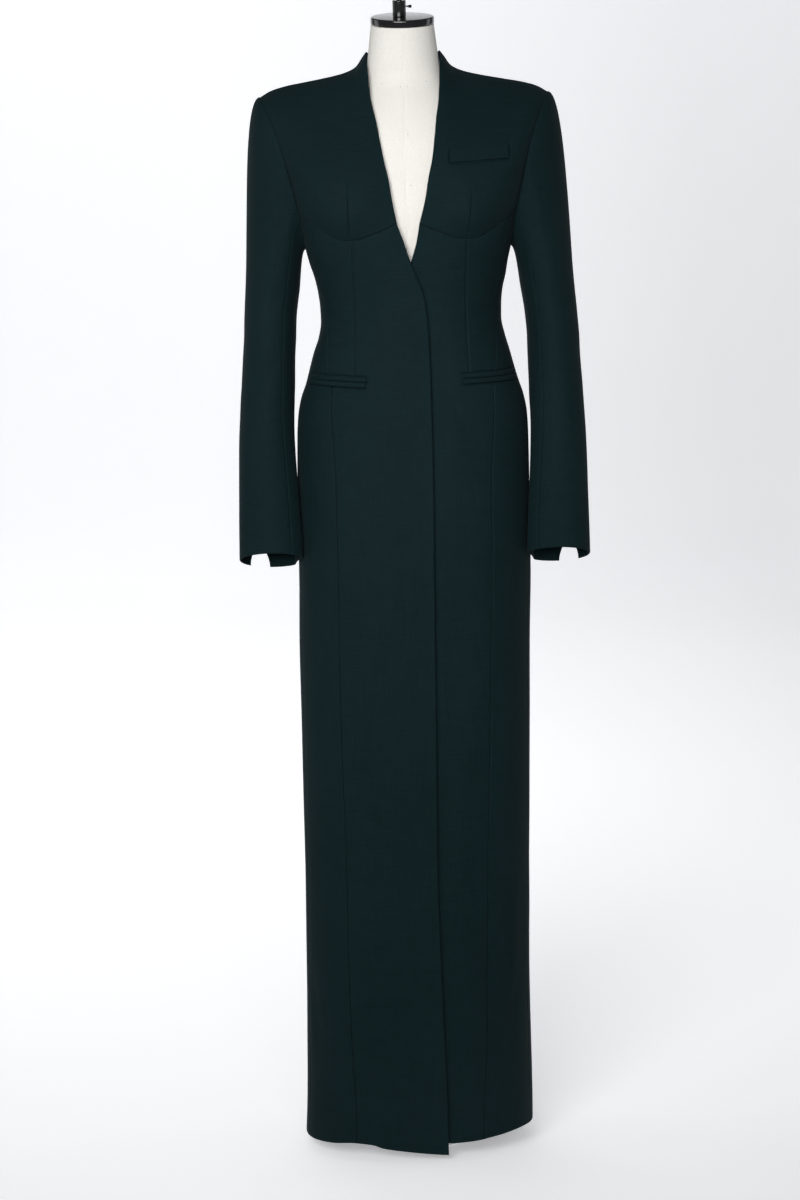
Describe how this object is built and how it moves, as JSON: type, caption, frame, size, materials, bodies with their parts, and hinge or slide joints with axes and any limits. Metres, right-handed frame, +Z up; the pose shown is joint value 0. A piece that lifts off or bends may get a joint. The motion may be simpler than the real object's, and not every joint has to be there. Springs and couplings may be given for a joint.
{
  "type": "tailored long coat on a dress form",
  "caption": "Floor-length fitted coat with padded shoulders, raised neckline and hidden front closing, worn by a limbless dress form on a flat-based pole.",
  "frame": {"origin": "on the floor, on the underside of the base plate, under the middle of the form", "axes": "+Z up; the coat's front faces -Y; the coat's left sleeve, as worn, lies towards +X"},
  "size_m": [0.5063, 0.2606, 1.701],
  "materials": {
    "coat_cloth": "matte wool",
    "form_canvas": "matte canvas",
    "cap_black": "gloss",
    "black_enamel": "gloss enamel",
    "stand_paint": "satin"
  },
  "bodies": {
    "root": {"lower_front_R": "coat_cloth", "upper_front_R": "coat_cloth", "side_panel_R": "coat_cloth", "side_skirt_R": "coat_cloth", "back_R": "coat_cloth", "back_skirt_R": "coat_cloth", "upper_sleeve_R": "coat_cloth", "fore_sleeve_R": "coat_cloth", "under_sleeve_R": "coat_cloth", "hip_welt_upper_R": "coat_cloth", "hip_welt_lower_R": "coat_cloth", "lower_front_L": "coat_cloth", "upper_front_L": "coat_cloth", "side_panel_L": "coat_cloth", "side_skirt_L": "coat_cloth", "back_L": "coat_cloth", "back_skirt_L": "coat_cloth", "upper_sleeve_L": "coat_cloth", "fore_sleeve_L": "coat_cloth", "under_sleeve_L": "coat_cloth", "hip_welt_upper_L": "coat_cloth", "hip_welt_lower_L": "coat_cloth", "breast_welt": "coat_cloth", "form_torso": "form_canvas", "neck_cap": "cap_black", "rod_socket": "black_enamel", "rod_stub": "black_enamel", "set_screw": "black_enamel", "stand_pole": "stand_paint", "base_plate": "stand_paint"}
  },
  "joints": []
}
